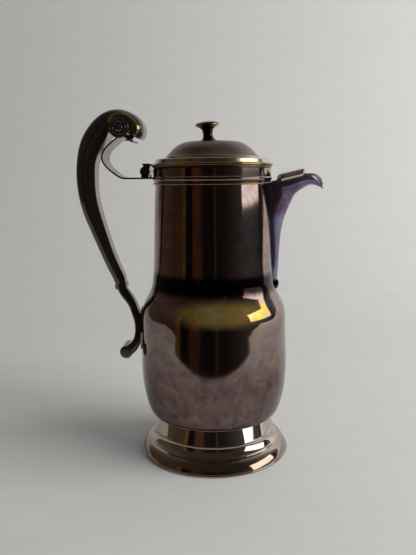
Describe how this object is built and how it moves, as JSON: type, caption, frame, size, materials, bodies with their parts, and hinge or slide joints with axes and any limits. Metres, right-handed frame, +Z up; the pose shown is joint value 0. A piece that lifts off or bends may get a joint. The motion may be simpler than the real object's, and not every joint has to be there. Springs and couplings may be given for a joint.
{
  "type": "lidded jug",
  "caption": "Tall silver-plated hot water jug with a beak spout, scrolled hollow handle, stepped foot and a domed hinged lid with a spool knob.",
  "frame": {"origin": "centre of the foot on the table plane", "axes": "+Z up along the body axis, +X towards the spout, handle on -X"},
  "size_m": [0.1549, 0.0962, 0.2186],
  "materials": {
    "body_plate": "tarnished silver plate, polished unevenly",
    "foot_plate": "worn silver plate, brighter",
    "handle_plate": "nearly black tarnish",
    "wire_brass": "plate worn through to brass",
    "lid_plate": "tarnished silver plate",
    "spout_plate": "tarnished plate with violet bloom",
    "pin_brass": "dull brass"
  },
  "bodies": {
    "jug": {"body_shell": "body_plate", "neck_band": "lid_plate", "neck_bead": "wire_brass", "foot": "foot_plate", "foot_wire": "wire_brass", "handle_strap": "handle_plate", "belly_pad": "body_plate", "handle_terminal": "handle_plate", "handle_grip": "handle_plate", "handle_inner_strip": "handle_plate", "handle_ferrule": "handle_plate", "volute_roll": "handle_plate", "volute_boss_front": "handle_plate", "volute_boss_back": "handle_plate", "spout": "spout_plate", "spout_drop": "body_plate", "spout_rim_wire": "wire_brass", "spout_rope_front": "lid_plate", "spout_rope_back": "lid_plate", "hinge_seat": "handle_plate", "hinge_pin": "pin_brass"},
    "lid": {"lid_dome": "lid_plate", "lid_ring": "wire_brass", "lid_bezel": "lid_plate", "lid_leaf": "lid_plate", "knob": "lid_plate", "knob_stud": "pin_brass", "knob_nut": "pin_brass"}
  },
  "joints": [
    {"name": "lid_hinge", "type": "hinge", "parent": "jug", "child": "lid", "pos_m": [-0.0412, 0, 0.1808], "axis": [0, -1, 0], "range_deg": [0, 50]}
  ]
}
